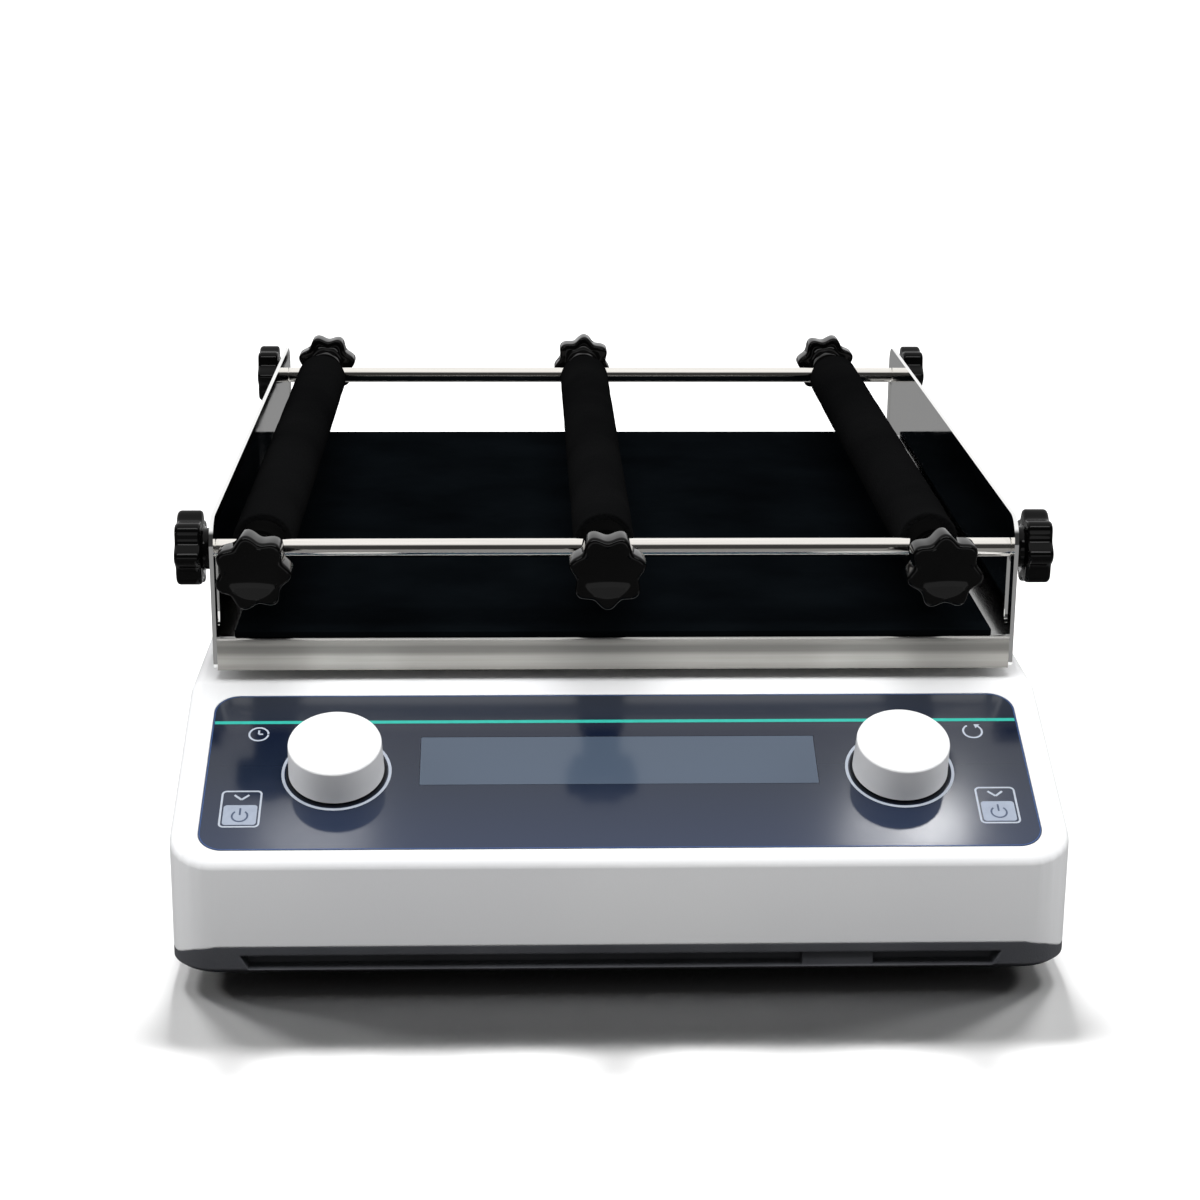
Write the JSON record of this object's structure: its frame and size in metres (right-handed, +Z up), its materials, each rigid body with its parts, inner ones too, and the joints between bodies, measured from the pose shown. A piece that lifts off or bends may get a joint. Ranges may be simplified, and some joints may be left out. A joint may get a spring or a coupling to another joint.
{
  "type": "orbital shaker",
  "caption": "Bench-top orbital shaker: sloped panel with push-turn knobs, belt-driven eccentric platform, tray with side plates, cross rods and sliding foam rollers clamped by star knobs.",
  "frame": {"origin": "centre of the whole object's footprint, on the bench surface under the feet", "axes": "+Z up, -Y is the front with the control panel, +X to the right seen from the front; at rest the platform stands at the front of its orbit"},
  "size_m": [0.2738, 0.372, 0.1255],
  "materials": {
    "chassis_plastic": "fine moulded texture",
    "foot_rubber": "moulded rubber",
    "screw_steel": "zinc plated",
    "housing_plastic": "satin moulded",
    "overlay_film": "printed film, glossy",
    "display_glass": "smoked clear window",
    "lcd_module": "metal bezel and glass cell",
    "board": "solder mask",
    "encoder_metal": "plated",
    "knob_plastic": "smooth satin",
    "entry_plastic": "moulded",
    "rocker_plastic": "smooth",
    "plain_steel": "zinc plated sheet",
    "cast_aluminium": "machined",
    "bearing_steel": "ground",
    "motor_shell": "dark paint",
    "belt_rubber": "moulded belt",
    "weight_iron": "as cast",
    "tray_steel": "brushed stainless",
    "mirror_steel": "polished stainless",
    "mat_rubber": "matt sheet",
    "rod_steel": "polished stainless rod",
    "roller_foam": "closed-cell foam",
    "clamp_plastic": "moulded",
    "star_plastic": "glossy moulded"
  },
  "bodies": {
    "base": {"chassis_pan": "chassis_plastic", "feet": "foot_rubber", "base_screws": "screw_steel", "upper_housing": "housing_plastic", "panel_overlay": "overlay_film", "display_window": "display_glass", "display_module": "lcd_module", "control_board": "board", "encoders": "encoder_metal", "power_board": "board", "power_entry": "entry_plastic", "carrier_plate": "plain_steel", "spindle_housing": "cast_aluminium", "shaft_bearings": "bearing_steel", "idler_housings": "cast_aluminium", "motor_bracket": "plain_steel", "motor": "motor_shell", "drive_belt": "belt_rubber"},
    "crank": {"spindle": "bearing_steel", "driven_pulley": "cast_aluminium", "counterweight": "weight_iron"},
    "rotor": {"motor_pulley": "cast_aluminium"},
    "idler_1": {"idler_crank_1": "bearing_steel"},
    "idler_2": {"idler_crank_2": "bearing_steel"},
    "idler_3": {"idler_crank_3": "bearing_steel"},
    "idler_4": {"idler_crank_4": "bearing_steel"},
    "platform": {"platform_plate": "cast_aluminium", "platform_bearings": "bearing_steel", "tray": "tray_steel", "left_side_plate": "mirror_steel", "right_side_plate": "mirror_steel", "tray_mat": "mat_rubber", "tray_screws": "screw_steel"},
    "front_bar": {"front_rod": "rod_steel"},
    "back_bar": {"back_rod": "rod_steel"},
    "left_roller": {"left_roller_core": "rod_steel", "left_roller_foam": "roller_foam", "left_roller_blocks": "clamp_plastic"},
    "middle_roller": {"middle_roller_core": "rod_steel", "middle_roller_foam": "roller_foam", "middle_roller_blocks": "clamp_plastic"},
    "right_roller": {"right_roller_core": "rod_steel", "right_roller_foam": "roller_foam", "right_roller_blocks": "clamp_plastic"},
    "front_left_knob": {"front_left_star": "star_plastic"},
    "front_right_knob": {"front_right_star": "star_plastic"},
    "back_left_knob": {"back_left_star": "star_plastic"},
    "back_right_knob": {"back_right_star": "star_plastic"},
    "left_front_clamp_knob": {"left_front_clamp_star": "star_plastic"},
    "left_back_clamp_knob": {"left_back_clamp_star": "star_plastic"},
    "middle_front_clamp_knob": {"middle_front_clamp_star": "star_plastic"},
    "middle_back_clamp_knob": {"middle_back_clamp_star": "star_plastic"},
    "right_front_clamp_knob": {"right_front_clamp_star": "star_plastic"},
    "right_back_clamp_knob": {"right_back_clamp_star": "star_plastic"},
    "time_push": {"time_shaft": "encoder_metal"},
    "time_dial": {"time_knob": "knob_plastic"},
    "speed_push": {"speed_shaft": "encoder_metal"},
    "speed_dial": {"speed_knob": "knob_plastic"},
    "rocker": {"power_rocker": "rocker_plastic"}
  },
  "joints": [
    {"name": "crank_spin", "type": "hinge", "parent": "base", "child": "crank", "pos_m": [0, 0.0318, 0.04], "axis": [0, 0, 1], "continuous": true},
    {"name": "platform_orbit", "type": "hinge", "parent": "crank", "child": "platform", "pos_m": [0, 0.0268, 0.08], "axis": [0, 0, 1], "continuous": true},
    {"name": "rotor_spin", "type": "hinge", "parent": "base", "child": "rotor", "pos_m": [0, 0.1158, 0.05], "axis": [0, 0, 1], "continuous": true},
    {"name": "idler_1_spin", "type": "hinge", "parent": "base", "child": "idler_1", "pos_m": [-0.082, -0.0482, 0.05], "axis": [0, 0, 1], "continuous": true},
    {"name": "idler_2_spin", "type": "hinge", "parent": "base", "child": "idler_2", "pos_m": [0.082, -0.0482, 0.05], "axis": [0, 0, 1], "continuous": true},
    {"name": "idler_3_spin", "type": "hinge", "parent": "base", "child": "idler_3", "pos_m": [-0.082, 0.1118, 0.05], "axis": [0, 0, 1], "continuous": true},
    {"name": "idler_4_spin", "type": "hinge", "parent": "base", "child": "idler_4", "pos_m": [0.082, 0.1118, 0.05], "axis": [0, 0, 1], "continuous": true},
    {"name": "front_bar_height", "type": "slide", "parent": "platform", "child": "front_bar", "axis": [0, 0, 1], "range_m": [-0.0145, 0]},
    {"name": "back_bar_height", "type": "slide", "parent": "platform", "child": "back_bar", "axis": [0, 0, 1], "range_m": [-0.0145, 0]},
    {"name": "left_roller_shift", "type": "slide", "parent": "front_bar", "child": "left_roller", "axis": [1, 0, 0], "range_m": [-0.003, 0.038]},
    {"name": "middle_roller_shift", "type": "slide", "parent": "front_bar", "child": "middle_roller", "axis": [1, 0, 0], "range_m": [-0.04, 0.038]},
    {"name": "right_roller_shift", "type": "slide", "parent": "front_bar", "child": "right_roller", "axis": [1, 0, 0], "range_m": [-0.038, 0.013]},
    {"name": "front_left_knob_turn", "type": "hinge", "parent": "front_bar", "child": "front_left_knob", "pos_m": [-0.13, -0.1037, 0.11359], "axis": [-1, 0, 0], "continuous": true},
    {"name": "front_right_knob_turn", "type": "hinge", "parent": "front_bar", "child": "front_right_knob", "pos_m": [0.13, -0.1037, 0.11359], "axis": [1, 0, 0], "continuous": true},
    {"name": "back_left_knob_turn", "type": "hinge", "parent": "back_bar", "child": "back_left_knob", "pos_m": [-0.13, 0.1573, 0.11359], "axis": [-1, 0, 0], "continuous": true},
    {"name": "back_right_knob_turn", "type": "hinge", "parent": "back_bar", "child": "back_right_knob", "pos_m": [0.13, 0.1573, 0.11359], "axis": [1, 0, 0], "continuous": true},
    {"name": "left_front_clamp_turn", "type": "hinge", "parent": "left_roller", "child": "left_front_clamp_knob", "pos_m": [-0.111, -0.1187, 0.11359], "axis": [0, -1, 0], "continuous": true},
    {"name": "left_back_clamp_turn", "type": "hinge", "parent": "left_roller", "child": "left_back_clamp_knob", "pos_m": [-0.111, 0.1723, 0.11359], "axis": [0, 1, 0], "continuous": true},
    {"name": "middle_front_clamp_turn", "type": "hinge", "parent": "middle_roller", "child": "middle_front_clamp_knob", "pos_m": [-0.0032, -0.1187, 0.11359], "axis": [0, -1, 0], "continuous": true},
    {"name": "middle_back_clamp_turn", "type": "hinge", "parent": "middle_roller", "child": "middle_back_clamp_knob", "pos_m": [-0.0032, 0.1723, 0.11359], "axis": [0, 1, 0], "continuous": true},
    {"name": "right_front_clamp_turn", "type": "hinge", "parent": "right_roller", "child": "right_front_clamp_knob", "pos_m": [0.1, -0.1187, 0.11359], "axis": [0, -1, 0], "continuous": true},
    {"name": "right_back_clamp_turn", "type": "hinge", "parent": "right_roller", "child": "right_back_clamp_knob", "pos_m": [0.1, 0.1723, 0.11359], "axis": [0, 1, 0], "continuous": true},
    {"name": "time_press", "type": "slide", "parent": "base", "child": "time_push", "axis": [0, -0.3811, 0.9245], "range_m": [-0.0005, 0], "stiffness_N_per_m": 1500, "springref_m": 0.001},
    {"name": "time_turn", "type": "hinge", "parent": "time_push", "child": "time_dial", "pos_m": [-0.0855, -0.15091, 0.05667], "axis": [0, -0.3811, 0.9245], "continuous": true},
    {"name": "speed_press", "type": "slide", "parent": "base", "child": "speed_push", "axis": [0, -0.3811, 0.9245], "range_m": [-0.0005, 0], "stiffness_N_per_m": 1500, "springref_m": 0.001},
    {"name": "speed_turn", "type": "hinge", "parent": "speed_push", "child": "speed_dial", "pos_m": [0.0855, -0.15091, 0.05667], "axis": [0, -0.3811, 0.9245], "continuous": true},
    {"name": "rocker_tip", "type": "hinge", "parent": "base", "child": "rocker", "pos_m": [0.059, 0.173, 0.038], "axis": [1, 0, 0], "range_deg": [-16, 0]}
  ],
  "couplings": [
    {"joint": "platform_orbit", "follows": "crank_spin", "ratio": -1},
    {"joint": "rotor_spin", "follows": "crank_spin", "ratio": 4},
    {"joint": "idler_1_spin", "follows": "crank_spin", "ratio": 1},
    {"joint": "idler_2_spin", "follows": "crank_spin", "ratio": 1},
    {"joint": "idler_3_spin", "follows": "crank_spin", "ratio": 1},
    {"joint": "idler_4_spin", "follows": "crank_spin", "ratio": 1},
    {"joint": "back_bar_height", "follows": "front_bar_height", "ratio": 1}
  ]
}
